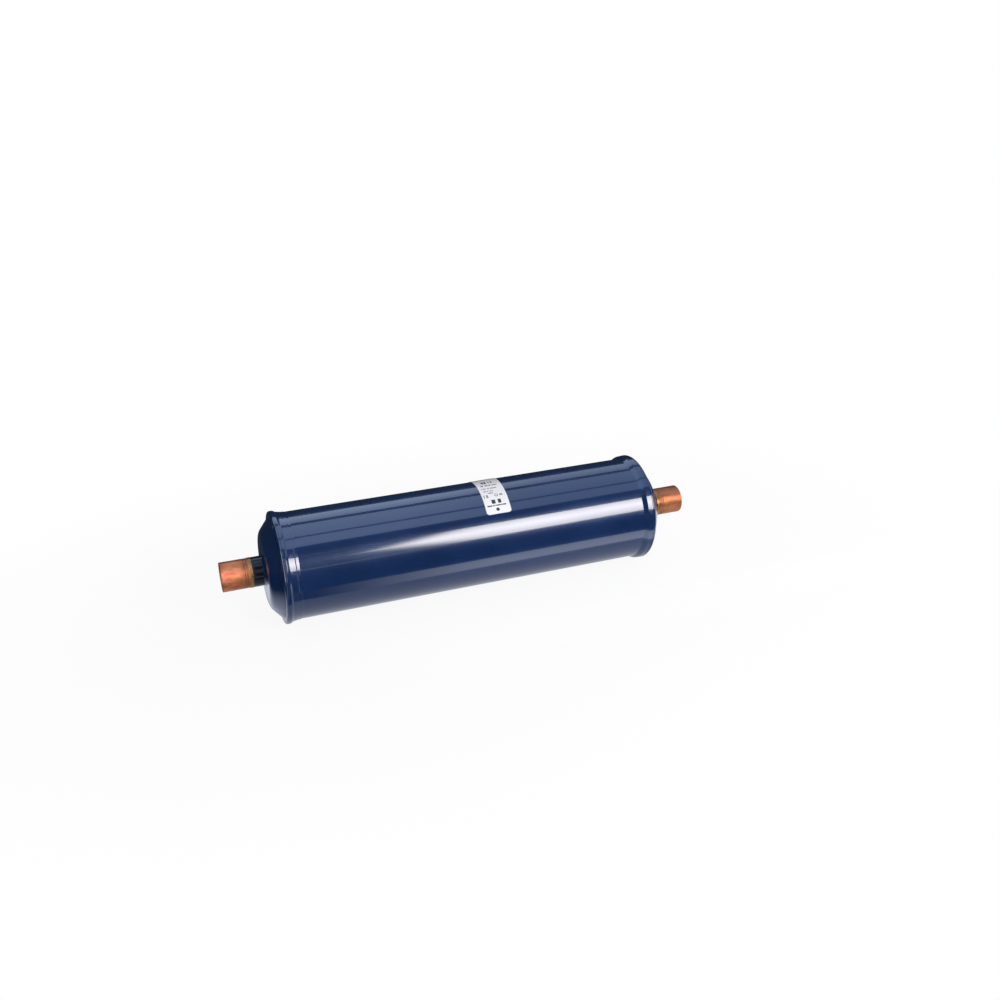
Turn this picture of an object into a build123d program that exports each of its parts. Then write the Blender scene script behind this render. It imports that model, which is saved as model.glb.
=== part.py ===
"""Filter drier for a refrigerant liquid line: a welded steel shell round a spring-loaded bed of
desiccant beads, with a copper solder socket at each end.

Millimetres. The axis is X and the refrigerant flows toward +X. The origin is the centre of the
inlet socket's mouth, and +Z is up. Every turned piece is drawn as a half section whose first
coordinate, called "out", is the distance from the middle of the shell toward one end, and whose
second is the radius. The two ends of the shell are the same.
"""
from build123d import *
from math import atan2, cos, hypot, pi, radians, sin, sqrt, tan
import os

# Shell: a 3 1/2 in steel tube
shell_diameter = 88.9
shell_wall = 1.5
shell_length = 319.6          # from lip to lip
bell_length = 6.9             # the stretch of tube that is opened out for the head
bell_rise = 2.1               # how far the tube is opened in the bell's slope
bell_slope_length = 3.6       # length of that slope
bell_inner_round = 3.0        # where the slope leaves the tube
bell_outer_round = 5.0        # where the slope meets the lip's straight stretch
lip_rise = 0.35               # how much further the straight stretch opens up to the lip
groove_setback = 9.3          # from the lip to the middle of the rolled stop groove
groove_width = 2.6
groove_depth = 0.5

# Heads: drawn steel, pressed into the flared ends against the stop groove
head_wall = 2.0
head_clearance = 0.15         # between the head's skirt and the shell's bore
head_shoulder = 2.0           # from the shell's lip to the corner between skirt and cone
head_rise = 10.4              # from that corner to the corner between cone and crown
cone_angle = 50.0             # between the cone and the axis
shoulder_radius = 3.0
crown_radius = 12.0
crown_dish = 0.8              # how far the middle of the crown is sunk

# Seam weld: metal that fills the trough between the head and the lip
weld_depth = 2.0              # how deep it reaches along the lip's straight stretch
weld_crown = 2.4              # how far it stands out past the lip
weld_round = 1.5              # how far its face lies inside the lip's outer edge

# Necks: turned steel spuds, welded through the heads
neck_diameter = 24.6
neck_fit = 0.05               # between the neck and its hole in the head
neck_projection = 10.0        # from the plane of the crown's corner to the neck's end
neck_inside = 1.0             # how far the neck reaches into the shell past the head
neck_chamfer = 0.8
neck_weld_leg = 1.4
neck_stop = 2.6               # length of the narrow bore that stops the copper tail

# Sockets: copper, for a 7/8 in tube
socket_bore = 22.35
socket_wall = 1.0
socket_depth = 20.0
socket_length = 24.2          # from the neck's end to the mouth
socket_edge = 0.3
passage_diameter = 17.8       # through the neck and the tail
tail_wall = 1.0
tail_fit = 0.05               # between the tail and the neck's bore, for the braze metal
ring_groove_setback = 3.6     # from the neck's end to the middle of the first ring groove
ring_groove_pitch = 1.9
ring_groove_width = 0.7
ring_groove_depth = 0.2
ring_groove_count = 2
braze_collar_length = 2.2     # how far the braze covers the socket's root
braze_collar_depth = 0.4      # how far it is let into the socket
braze_proud = 0.15            # how far it stands outside the neck
braze_round = 0.4

# Label: printed film wrapped over the top of the shell
label_thickness = 0.15
label_adhesive = 0.15         # under the film
label_width = 21.8
label_offset = 12.2           # from the middle of the shell toward the outlet
label_front_angle = 45.0      # from the top, down the side toward -Y
label_back_angle = 100.0      # from the top, down the side toward +Y
label_corner = 2.5

# Plates, screens and pads
plate_thickness = 1.5
plate_clearance = 0.2         # between a plate's rim and the shell's bore
plate_hole = 6.0
plate_pitch = 11.0
rim_height = 6.0              # the follower plate's turned rim
skirt_height = 20.0           # the end plate's skirt, which stands on the stop groove
bend_radius = 2.5             # outside of the bend into a rim or a skirt
screen_thickness = 0.8
screen_gap = 5.0
screen_pitch = 7.0
screen_border = 3.5           # the screen's plain edge
pad_thickness = 7.0
pad_clearance = 0.1

# Outlet filter: a moulded cup that reaches into the beads, with a perforated steel cage in it
brim_thickness = 6.0
cup_diameter = 48.0
cup_wall = 6.0
cup_length = 30.0             # from the brim to the closed end
cup_round = 4.0
cage_wall = 0.8
cage_clearance = 0.2
cage_mouth = 30.0             # opening in the end plate below the cage
cage_hole = 5.0
cage_rows = 2
cage_row_pitch = 10.0
cage_row_setback = 8.0        # from the cage's closed end to the first row
cage_holes_round = 8
ring_pitch = 9.5              # between neighbouring holes of a ring round the cage
ring_margin = 2.0             # from the cup's wall, and from the rim's bend, to the rings of holes
ring_count = 2

# Spring between the inlet head and the follower plate, and the beads that it presses on
spring_length = 42.0          # as set
spring_diameter = 38.0        # through the middle of the wire
spring_wire = 3.0
spring_wire_sides = 8         # the wire's section is an eight-sided figure
spring_turns = 4.5
spring_clearance = 0.05

# Where things lie, worked out from the sizes above
shell_radius = shell_diameter / 2
bore_radius = shell_radius - shell_wall
lip_out = shell_length / 2
bell_start = lip_out - bell_length
bell_top = shell_radius + bell_rise
lip_radius = bell_top + lip_rise
groove_out = lip_out - groove_setback
groove_arc = ((groove_width / 2) ** 2 + groove_depth ** 2) / (2 * groove_depth)
bead_half_width = sqrt(groove_depth * (2 * (groove_arc + shell_wall) - groove_depth))
head_radius = bore_radius - head_clearance
head_start = groove_out + bead_half_width
shoulder_out = lip_out + head_shoulder
crown_out = shoulder_out + head_rise
crown_corner_radius = head_radius - head_rise * tan(radians(cone_angle))
neck_radius = neck_diameter / 2
neck_out = crown_out + neck_projection
mouth_out = neck_out + socket_length
socket_radius = socket_bore / 2 + socket_wall
passage_radius = passage_diameter / 2
tail_radius = passage_radius + tail_wall
tail_bore_radius = tail_radius + tail_fit
plate_radius = bore_radius - plate_clearance
pad_radius = bore_radius - pad_clearance
end_plate_out = groove_out - bead_half_width - skirt_height
outlet_screen_out = end_plate_out - screen_thickness
brim_out = outlet_screen_out - brim_thickness


def head_inside_out(radius):
    """How far out the inside of the crown lies at a radius inside the crown's rounding."""
    slope = crown_dish / crown_corner_radius
    return crown_out - crown_dish + slope * radius - head_wall * hypot(1, slope)


neck_start = head_inside_out(neck_radius) - neck_inside
tail_start = neck_start + neck_stop
spring_seat = -head_inside_out((spring_diameter - spring_wire) / 2) + spring_clearance
follower_out = spring_seat + spring_length
inlet_screen_out = follower_out + plate_thickness
bed_start = inlet_screen_out + screen_thickness + pad_thickness


# Shared forms

def turned(section):
    """The solid of a half section turned about the shell's axis."""
    return revolve(section, axis=Axis.X)


def outlet_side(piece):
    """Move a piece drawn from the middle of the shell into the drier's own frame."""
    return Pos(mouth_out, 0, 0) * piece


def inlet_side(piece):
    """The same, for the end that faces -X."""
    return Pos(mouth_out, 0, 0) * Rot(0, 0, 180) * piece


def box_section(start, end, inner, outer):
    """A rectangular half section: a plain ring or disc."""
    return Pos((start + end) / 2, (inner + outer) / 2) * Rectangle(end - start, outer - inner)


def wall_section(outside, wall):
    """Half section of a wall of even thickness under an outline that runs outward."""
    return make_face(Wire(outside.edges()).offset_2d(wall, side=Side.RIGHT))


def ring_of_holes(radius, count):
    """Places round a circle in the plane across the axis."""
    return list(PolarLocations(radius, count))


def drilled(piece, out, thickness, hole_diameter, places):
    """Cut round holes through a disc that lies across the axis."""
    drill = Cylinder(hole_diameter / 2, 3 * thickness)
    across = Plane((out + thickness / 2, 0, 0), x_dir=(0, 1, 0), z_dir=(1, 0, 0))
    return piece - [across * place * drill for place in places]


# Shell, heads and seam welds

def shell_half_section():
    """Tube wall from the middle to one lip, with the rolled groove and the bell."""
    groove_start = groove_out - groove_width / 2
    groove_end = groove_out + groove_width / 2
    outside = Line((0, shell_radius), (groove_start, shell_radius))
    outside += ThreePointArc((groove_start, shell_radius), (groove_out, shell_radius - groove_depth),
                             (groove_end, shell_radius))
    outside += FilletPolyline((groove_end, shell_radius), (bell_start, shell_radius),
                              (bell_start + bell_slope_length, bell_top), (lip_out, lip_radius),
                              radius=(bell_inner_round, bell_outer_round))
    return wall_section(outside, shell_wall)


def make_shell():
    half = shell_half_section()
    return turned(half + mirror(half, about=Plane.YZ))


def head_outline():
    """Outside of a head: skirt, shoulder, cone, rounded crown, and the dish to the axis."""
    return FilletPolyline(
        (head_start, head_radius),
        (shoulder_out, head_radius),
        (crown_out, crown_corner_radius),
        (crown_out - crown_dish, 0),
        radius=(shoulder_radius, crown_radius),
    )


def make_head():
    """Drawn from one blank of even thickness, then pierced for the neck."""
    section = wall_section(head_outline(), head_wall)
    across = Plane((crown_out, 0, 0), z_dir=(1, 0, 0))
    hole = across * Cylinder(neck_radius + neck_fit, 2 * head_rise)
    half_plane = box_section(0, crown_out, 0, lip_radius)
    return turned(section & half_plane) - hole


def head_envelope():
    """Half section of everything under the outside of a head."""
    return make_face([*head_outline().edges(),
                      *Polyline((crown_out - crown_dish, 0), (head_start, 0),
                                (head_start, head_radius)).edges()])


def make_head_weld():
    """Weld metal from the lip's edge across to the head's shoulder, down into the trough."""
    opening = atan2(lip_rise, bell_length - bell_slope_length)
    along = Vector(cos(opening), sin(opening))
    inward = Vector(sin(opening), -cos(opening))
    lip_edge = Vector(lip_out, lip_radius)
    lip_inside = lip_edge + inward * shell_wall
    root = lip_inside - along * weld_depth
    face_out = lip_out + weld_crown
    face_top = Vector(face_out, lip_radius - weld_round)
    crown = TangentArc(lip_edge, face_top, tangent=along)
    rest = Polyline(face_top, (face_out, head_radius - head_wall),
                    (root.X, head_radius - head_wall), root, lip_inside, lip_edge)
    section = make_face([crown, *rest.edges()])
    return turned(section - head_envelope())


# Necks, sockets and their joints

def make_neck():
    """Steel spud with a stop in its bore, chamfered at the outer end for the braze."""
    body = box_section(neck_start, neck_out, passage_radius, neck_radius)
    body -= box_section(tail_start, neck_out, 0, tail_bore_radius)
    outer_edge = body.vertices().group_by(Axis.X)[-1].sort_by(Axis.Y)[-1]
    return turned(chamfer(outer_edge, neck_chamfer))


def make_neck_weld():
    """Fillet weld between the head's crown and the neck."""
    toe = crown_out - crown_dish
    section = make_face(Polyline(
        (toe, neck_radius), (toe, neck_radius + 2 * neck_weld_leg),
        (crown_out, neck_radius + neck_weld_leg), (crown_out + neck_weld_leg, neck_radius),
        close=True))
    return turned(section - head_envelope())


def socket_outline():
    """Half section of the socket and its tail, before the ring grooves."""
    bottom = mouth_out - socket_depth
    cup = box_section(neck_out, mouth_out, passage_radius, socket_radius)
    cup -= box_section(bottom, mouth_out, 0, socket_bore / 2)
    cup = chamfer(cup.vertices().group_by(Axis.X)[-1].sort_by(Axis.Y)[-1], socket_edge)
    return cup + box_section(tail_start, neck_out, passage_radius, tail_radius)


def braze_seat():
    """Half section of the room for braze metal over the socket's root and the neck's chamfer."""
    return box_section(neck_out - neck_chamfer, neck_out + braze_collar_length,
                       socket_radius - braze_collar_depth, neck_radius + braze_proud)


def make_socket():
    """Copper solder socket, with two fine rings turned beside the neck."""
    section = socket_outline() - braze_seat()
    for ring in range(ring_groove_count):
        ring_out = neck_out + ring_groove_setback + ring * ring_groove_pitch
        section -= box_section(ring_out - ring_groove_width / 2, ring_out + ring_groove_width / 2,
                               socket_radius - ring_groove_depth, neck_radius + braze_proud)
    return turned(section)


def make_braze_ring():
    """Collar of braze metal over the socket's root, running out on the neck's chamfer."""
    outer = braze_seat().vertices().group_by(Axis.Y)[-1]
    collar = fillet(outer, braze_round)
    neck_edge = make_face(Polyline(
        (neck_out - 2 * neck_chamfer, 0), (neck_out, 0), (neck_out, neck_radius - neck_chamfer),
        (neck_out - neck_chamfer, neck_radius), (neck_out - 2 * neck_chamfer, neck_radius),
        close=True))
    return turned(collar - neck_edge)


# Label

def make_label():
    """Film bent to the shell, with rounded corners."""
    inside = shell_radius + label_adhesive
    section = box_section(label_offset, label_offset + label_width,
                          inside, inside + label_thickness)
    sweep_angle = label_front_angle + label_back_angle
    film = revolve(section, axis=Axis.X, revolution_arc=sweep_angle)
    corners = film.edges().group_by(SortBy.LENGTH)[0]
    return Rot(90 - label_back_angle, 0, 0) * fillet(corners, label_corner)


# Inside, from the inlet to the outlet

def make_spring():
    """Compression spring between the inlet head and the follower plate, both ends ground flat."""
    coil = Helix(spring_length / spring_turns, spring_length, spring_diameter / 2,
                 center=(spring_seat, 0, 0), direction=(1, 0, 0))
    start = Plane(origin=coil @ 0, z_dir=coil % 0)
    section = start * RegularPolygon(spring_wire / 2, spring_wire_sides)
    wire = sweep(section, path=coil, is_frenet=True)
    room = Pos(spring_seat + spring_length / 2, 0, 0) * Box(
        spring_length, 2 * spring_diameter, 2 * spring_diameter)
    return wire & room


def pressed_plate(out, rim_end):
    """A disc with its rim turned back over toward the near or far side."""
    far = max(rim_end, out + plate_thickness)
    near = min(rim_end, out)
    section = box_section(near, far, 0, plate_radius)
    outer = section.vertices().sort_by(Axis.Y)[-2:]
    face_out = out if rim_end > out else out + plate_thickness
    corner = [v for v in outer if abs(v.X - face_out) < plate_thickness / 2]
    section = fillet(corner, bend_radius)
    hollow_start, hollow_end = sorted((rim_end, out + plate_thickness if rim_end > out else out))
    hollow = box_section(hollow_start, hollow_end, 0, plate_radius - plate_thickness)
    inner = [v for v in hollow.vertices().sort_by(Axis.Y)[-2:] if abs(v.X - rim_end) > plate_thickness]
    return turned(section - fillet(inner, bend_radius - plate_thickness))


def make_inlet_plate():
    """Follower plate: rings of six, twelve and eighteen holes round the middle one."""
    plate = pressed_plate(follower_out, follower_out - rim_height + plate_thickness)
    rings = int((plate_radius - plate_thickness - plate_hole / 2) // plate_pitch)
    places = [Location()]
    for ring in range(1, rings + 1):
        places += ring_of_holes(ring * plate_pitch, 6 * ring)
    return drilled(plate, follower_out, plate_thickness, plate_hole, places)


def make_screen(out):
    """Wire mesh across the shell, as a disc with square gaps."""
    disc = turned(box_section(out, out + screen_thickness, 0, plate_radius))
    reach = plate_radius - screen_border - screen_gap / 2 * 2 ** 0.5
    count = 2 * int(reach // screen_pitch) + 1
    gap = Box(screen_gap, screen_gap, 3 * screen_thickness)
    across = Plane((out + screen_thickness / 2, 0, 0), x_dir=(0, 1, 0), z_dir=(1, 0, 0))
    places = [place for place in GridLocations(screen_pitch, screen_pitch, count, count)
              if place.position.length <= reach]
    return disc - [across * place * gap for place in places]


def make_inlet_pad():
    return turned(box_section(bed_start - pad_thickness, bed_start, 0, pad_radius))


def cup_section(clearance):
    """Half section of the filter cup's outside, enlarged by a clearance."""
    end = brim_out - cup_length
    cup = box_section(end - clearance, brim_out, 0, cup_diameter / 2 + clearance)
    corner = cup.vertices().group_by(Axis.X)[0].sort_by(Axis.Y)[-1]
    return fillet(corner, cup_round)


def make_desiccant_bed():
    """Bead charge that fills the bore between the inlet pad and the filter's brim."""
    charge = box_section(bed_start, brim_out, 0, pad_radius)
    return turned(charge - cup_section(pad_clearance))


def make_outlet_filter():
    """Moulded cup and brim, open toward the outlet."""
    brim = box_section(brim_out, outlet_screen_out, 0, pad_radius)
    hollow = box_section(brim_out - cup_length + cup_wall, outlet_screen_out,
                         0, cup_diameter / 2 - cup_wall)
    return turned(brim + cup_section(0) - hollow)


def make_outlet_cage():
    """Perforated steel cup that holds the filter open."""
    outer = cup_diameter / 2 - cup_wall - cage_clearance
    end = brim_out - cup_length + cup_wall + cage_clearance
    section = box_section(end, outlet_screen_out, 0, outer)
    section -= box_section(end + cage_wall, outlet_screen_out, 0, outer - cage_wall)
    cage = turned(section)
    drill = Cylinder(cage_hole / 2, 2 * outer, align=(Align.CENTER, Align.CENTER, Align.MIN))
    for row in range(cage_rows):
        row_out = end + cage_row_setback + row * cage_row_pitch
        cage -= [Pos(row_out, 0, 0) * Rot(360 * turn / cage_holes_round, 0, 0) * drill
                 for turn in range(cage_holes_round)]
    places = [Location(), *ring_of_holes(2 * cage_hole, 6)]
    return drilled(cage, end, cage_wall, cage_hole, places)


def make_outlet_plate():
    """End plate: one opening below the cage, and rings of holes outside it."""
    plate = pressed_plate(end_plate_out, end_plate_out + skirt_height)
    plate = drilled(plate, end_plate_out, plate_thickness, cage_mouth, [Location()])
    first = cup_diameter / 2 + ring_margin
    last = plate_radius - bend_radius - ring_margin - plate_hole / 2
    for ring in range(ring_count):
        radius = first + (last - first) * ring / (ring_count - 1)
        places = ring_of_holes(radius, int(2 * pi * radius / ring_pitch))
        plate = drilled(plate, end_plate_out, plate_thickness, plate_hole, places)
    return plate


def make_pieces():
    """Every piece by its name, in the drier's own frame."""
    pieces = {
        "shell": outlet_side(make_shell()),
        "label": outlet_side(make_label()),
        "bed_spring": outlet_side(make_spring()),
        "inlet_plate": outlet_side(make_inlet_plate()),
        "inlet_screen": outlet_side(make_screen(inlet_screen_out)),
        "inlet_pad": outlet_side(make_inlet_pad()),
        "desiccant_bed": outlet_side(make_desiccant_bed()),
        "outlet_filter": outlet_side(make_outlet_filter()),
        "outlet_cage": outlet_side(make_outlet_cage()),
        "outlet_screen": outlet_side(make_screen(outlet_screen_out)),
        "outlet_plate": outlet_side(make_outlet_plate()),
    }
    both_ends = {
        "cap": make_head(),
        "cap_weld": make_head_weld(),
        "neck": make_neck(),
        "neck_weld": make_neck_weld(),
        "socket": make_socket(),
        "braze_ring": make_braze_ring(),
    }
    for name, piece in both_ends.items():
        pieces["inlet_" + name] = inlet_side(piece)
        pieces["outlet_" + name] = outlet_side(piece)
    return pieces


os.makedirs("parts", exist_ok=True)
for name, piece in make_pieces().items():
    export_step(piece, f"parts/{name}.step")
print(f"overall length {2 * mouth_out:.1f} mm, lip diameter {2 * lip_radius:.1f} mm")
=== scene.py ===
# %% [markdown]
# # A filter drier, dressed
#
# A filter drier is a welded steel can in a refrigerant line. The packed model gives its solids in
# metres, with the axis along X and the inlet's mouth at the origin. This notebook gives each visible
# piece a finer mesh and a finish, and leaves the solids inside the can as they are. First we load the
# packed model, and note its size.

# %% Load the frame
import math

import bpy
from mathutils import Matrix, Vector


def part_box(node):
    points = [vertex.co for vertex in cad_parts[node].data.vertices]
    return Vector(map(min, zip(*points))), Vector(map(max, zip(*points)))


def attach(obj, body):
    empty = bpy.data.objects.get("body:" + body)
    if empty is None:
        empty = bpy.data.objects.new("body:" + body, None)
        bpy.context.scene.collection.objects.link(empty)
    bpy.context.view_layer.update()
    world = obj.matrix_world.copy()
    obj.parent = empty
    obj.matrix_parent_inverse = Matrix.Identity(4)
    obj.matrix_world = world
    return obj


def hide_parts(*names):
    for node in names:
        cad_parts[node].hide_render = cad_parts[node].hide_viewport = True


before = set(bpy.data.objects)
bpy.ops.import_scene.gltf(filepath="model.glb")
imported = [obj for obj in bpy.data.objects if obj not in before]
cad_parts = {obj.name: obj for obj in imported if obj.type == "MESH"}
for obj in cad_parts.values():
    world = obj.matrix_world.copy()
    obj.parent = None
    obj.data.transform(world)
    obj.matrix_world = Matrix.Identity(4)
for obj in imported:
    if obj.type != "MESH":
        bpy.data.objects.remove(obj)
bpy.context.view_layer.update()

print("nodes in the frame:", len(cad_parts))

# %% [markdown]
# ## Sizes
#
# The middle of the shell lies half way between the two socket mouths. Everything turned is drawn as a
# half outline: how far *out* from that middle, and how far from the axis. Millimetres are easier to
# read on a drawing, so outlines are written in them and turned to metres in one place.

# %% Sizes from the frame
MM = 0.001                       # one millimetre, in metres
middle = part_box("outlet_socket")[1][0] / 2
mouth_out = middle / MM
shell_radius = 44.45
shell_wall = 1.5
lip_out = 159.8
lip_radius = shell_radius + 2.45
shell_low, shell_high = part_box("shell")
print(f"middle of the shell at {middle:.4f} m; the shell spans "
      f"{(shell_high[0] - shell_low[0]) / MM:.1f} mm and is {2 * lip_radius:.1f} mm across its lips")

# %% [markdown]
# ## One class for node trees
#
# Shaders and Geometry Nodes are both graphs of nodes. Writing them link by link hides the maths, so a
# `Signal` wraps one output socket and turns Python's operators into Math nodes. The reflected forms
# let `1 - mask` work as well as `mask - 1`.

# %% Signals
class Signal:
    """One output socket of a node, with Python's arithmetic on it."""

    def __init__(self, tree, socket):
        self.tree = tree
        self.socket = socket

    def math(self, operation, *others):
        return self.tree.maths(operation, self, *others)

    def __add__(self, other): return self.math("ADD", other)
    def __sub__(self, other): return self.math("SUBTRACT", other)
    def __mul__(self, other): return self.math("MULTIPLY", other)
    def __truediv__(self, other): return self.math("DIVIDE", other)
    def __pow__(self, other): return self.math("POWER", other)
    def __gt__(self, other): return self.math("GREATER_THAN", other)
    def __lt__(self, other): return self.math("LESS_THAN", other)
    def __radd__(self, other): return self.tree.maths("ADD", other, self)
    def __rsub__(self, other): return self.tree.maths("SUBTRACT", other, self)
    def __rmul__(self, other): return self.tree.maths("MULTIPLY", other, self)
    def __rtruediv__(self, other): return self.tree.maths("DIVIDE", other, self)
    def __neg__(self): return self.tree.maths("SUBTRACT", 0.0, self)
    def __abs__(self): return self.math("ABSOLUTE")

    def between(self, low, high):
        """0 at low and 1 at high, eased, whichever is larger."""
        if high > low:
            return self.tree.ease(self, low, high)
        return 1 - self.tree.ease(self, high, low)


print("names on a signal:", [name for name in vars(Signal) if not name.startswith("_")])

# %% [markdown]
# A `Tree` has one method, `add`, for every other node: it takes the node's type, then its settings,
# then the values or links of its sockets. The few nodes that this script uses most get short names.

# %% Trees
class Tree:
    """A shader or Geometry Nodes tree that is built with plain calls."""

    def __init__(self, nodes_and_links):
        self.tree = nodes_and_links

    def add(self, kind, settings=None, sockets=None, output=0):
        """Any node: its settings are set first, then the values or links of its sockets."""
        node = self.tree.nodes.new(kind)
        for name, value in (settings or {}).items():
            if name == "stops":
                self.set_stops(node.color_ramp, value)
            else:
                setattr(node, name, value)
        for name, value in (sockets or {}).items():
            if isinstance(value, Signal):
                self.tree.links.new(value.socket, node.inputs[name])
            else:
                node.inputs[name].default_value = value
        return Signal(self, node.outputs[output]) if node.outputs else node

    @staticmethod
    def set_stops(ramp, stops):
        while len(ramp.elements) < len(stops):
            ramp.elements.new(1.0)
        for element, (place, colour) in zip(ramp.elements, stops):
            element.position = place
            element.color = (*colour, 1.0)

    def maths(self, operation, *values):
        return self.add("ShaderNodeMath", {"operation": operation}, dict(enumerate(values)))

    def ease(self, value, low, high):
        return self.add("ShaderNodeMapRange", {"interpolation_type": "SMOOTHSTEP"},
                        {"Value": value, "From Min": low, "From Max": high})

    def mix(self, factor, first, second):
        """A colour between two colours."""
        return self.add("ShaderNodeMix", {"data_type": "RGBA"},
                        {0: factor, 6: first, 7: second}, output=2)

    def vector(self, x=0.0, y=0.0, z=0.0):
        return self.add("ShaderNodeCombineXYZ", None, {"X": x, "Y": y, "Z": z})

    def noise(self, place, scale, detail=2.0, roughness=0.5):
        return self.add("ShaderNodeTexNoise", None, {
            "Vector": place, "Scale": scale, "Detail": detail, "Roughness": roughness})


print("short names on a tree:", [name for name in vars(Tree) if not name.startswith("_")])

# %% [markdown]
# A colour that is picked from a screen isn't in the linear light that shaders work in, so one
# helper turns it.

# %% Colours
def rgb(red, green, blue):
    """A screen colour, 0 to 255, as the linear colour that a shader takes."""
    def linear(value):
        value /= 255
        return value / 12.92 if value <= 0.04045 else ((value + 0.055) / 1.055) ** 2.4
    return (linear(red), linear(green), linear(blue), 1.0)


print("navy paint in linear light:", [round(value, 4) for value in rgb(24, 42, 90)[:3]])

# %% [markdown]
# ## Finishes
#
# A `Surface` starts a material and hands out the place of each point on its piece, which is where
# patterns are drawn. The place comes from Object coordinates, so a pattern stays on its piece whatever
# moves the camera. A `Finish` is a surface with a Principled shader, for everything that isn't only a
# glow. The cards that the paint reflects only glow, so they are plain surfaces.

# %% A surface and a finish
class Surface(Tree):
    """A material, with the place of each point on its piece."""

    def __init__(self, name):
        self.material = bpy.data.materials.new(name)
        self.material.use_nodes = True
        super().__init__(self.material.node_tree)
        self.tree.nodes.clear()
        self.result = self.tree.nodes.new("ShaderNodeOutputMaterial")
        self.place = self.add("ShaderNodeTexCoord", None, None, output=3)
        split = self.add("ShaderNodeSeparateXYZ", None, {"Vector": self.place}).socket.node
        self.x, self.y, self.z = (Signal(self, socket) for socket in split.outputs)

    def shows(self, shader):
        """Link a shader to the material's surface."""
        self.tree.links.new(shader.socket, self.result.inputs["Surface"])


def socket_name(word):
    """The shader's own name for a socket, such as Base Color for base_color."""
    return word.replace("_", " ").title()


class Finish(Surface):
    """A surface with one Principled shader."""

    def __init__(self, name, **constants):
        super().__init__(name)
        self.shader = self.tree.nodes.new("ShaderNodeBsdfPrincipled")
        self.shows(Signal(self, self.shader.outputs[0]))
        for name, value in constants.items():
            self.shader.inputs[socket_name(name)].default_value = value

    def out(self):
        """Distance from the middle of the shell, in millimetres, at either end."""
        return abs(self.x - middle) / MM

    def stretched(self, along, around):
        """Object coordinates, scaled differently along the axis and across it."""
        return self.vector(self.x * along, self.y * around, self.z * around)

    def drives(self, **signals):
        """Link signals to the shader's own sockets."""
        for name, signal in signals.items():
            self.tree.links.new(signal.socket, self.shader.inputs[socket_name(name)])

    def bump(self, height, depth):
        """Relief of that depth, in metres."""
        self.drives(normal=self.add("ShaderNodeBump", None, {
            "Height": height, "Distance": depth, "Strength": 1.0}))


print("base_color names the socket", socket_name("base_color"))

# %% [markdown]
# ### Navy powder coat
#
# The can is powder coated a deep navy. The coat is thick and glossy, with a faint orange peel, and the
# drawn tube under it leaves long shallow lines that make a reflection look streaked. Over the weld
# bands the surface is uneven, so the peel is coarser there. The spuds get a nearly black, less glossy
# copy of the coat: painted shade, for the dark reflections that they show.

# %% Navy powder coat
weld_band = (147.5, 150.0)       # where the uneven surface beside a weld fades in, out from the middle


def make_navy(name, darkest, lightest, gloss=1.0):
    finish = Finish(name, coat_weight=gloss, coat_roughness=0.03)
    finish.shader.inputs["Specular IOR Level"].default_value = 0.5 * gloss
    finish.shader.inputs["Specular Tint"].default_value = (0.60, 0.75, 1.0, 1.0)
    cloud = finish.noise(finish.place, 22.0, detail=3.0)
    deep = finish.mix(cloud, darkest, lightest)
    speck = finish.noise(finish.place, 900.0, detail=1.0).between(0.60, 0.74)
    finish.drives(base_color=finish.mix(speck * 0.15, deep, rgb(48, 66, 118)))
    band = finish.out().between(*weld_band)
    peel = finish.noise(finish.place, 420.0, detail=1.0)
    lines = finish.noise(finish.stretched(3.0, 90.0), 1.0)
    lumps = finish.noise(finish.place, 240.0)
    height = peel * 0.25 + lines * (1.4 * (1 - band)) + lumps * band * 3.4
    finish.bump(height, 0.00005)
    finish.drives(roughness=0.16 + cloud * 0.14)
    return finish.material


navy = make_navy("navy_powder_coat", rgb(8, 29, 66), rgb(17, 44, 90))
# a nearly black copy of the navy for the spuds: painted shade
navy_painted_shade = make_navy("navy_painted_shade_on_spuds", rgb(4, 6, 20), rgb(8, 12, 34), gloss=0.35)
print("made", navy.name, "and", navy_painted_shade.name)

# %% [markdown]
# ### Bare copper
#
# The sockets are drawn copper tube, handled and heated: patches of orange, rose and brown, fine turning
# lines round the tube, and a brown tint beside the braze where the heat was. The outlet's socket is made
# browner. All of it is metal, so the colour is a reflection colour.

# %% Bare copper
heated = (194.0, 186.0)          # where the heat's tint fades in toward the braze, out from the middle
copper_tones = [
    (0.30, rgb(160, 94, 60)[:3]), (0.44, rgb(196, 120, 80)[:3]),
    (0.56, rgb(218, 142, 102)[:3]), (0.70, rgb(202, 104, 88)[:3])]


def make_copper():
    finish = Finish("bare_copper", metallic=1.0)
    patch = finish.noise(finish.stretched(60.0, 120.0), 1.0, detail=3.0, roughness=0.6)
    tone = finish.add("ShaderNodeValToRGB", {"stops": copper_tones}, {"Fac": patch})
    heat = finish.out().between(*heated) * 0.6
    # browner toward the outlet's end
    outlet_brown = finish.x.between(0.2, 0.3) * 0.55
    brown = finish.mix(heat.math("MAXIMUM", outlet_brown), tone, rgb(136, 92, 68))
    ring = finish.noise(finish.vector(finish.x * 2600.0), 1.0, detail=1.0)
    scratch = finish.noise(finish.stretched(40.0, 900.0), 1.0)
    worn = scratch.between(0.56, 0.72) * 0.4
    finish.drives(base_color=finish.mix(worn, brown, rgb(120, 70, 46)))
    finish.drives(roughness=0.38 + patch * 0.20)
    finish.bump(ring * 0.5 + scratch * 0.5, 0.00002)
    return finish.material


copper = make_copper()
print("made", copper.name)

# %% [markdown]
# ### Braze metal
#
# A ring of brassy filler closes the joint between steel and copper. It froze from a liquid, so it is
# smooth but uneven, with darker flux stains.

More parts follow.
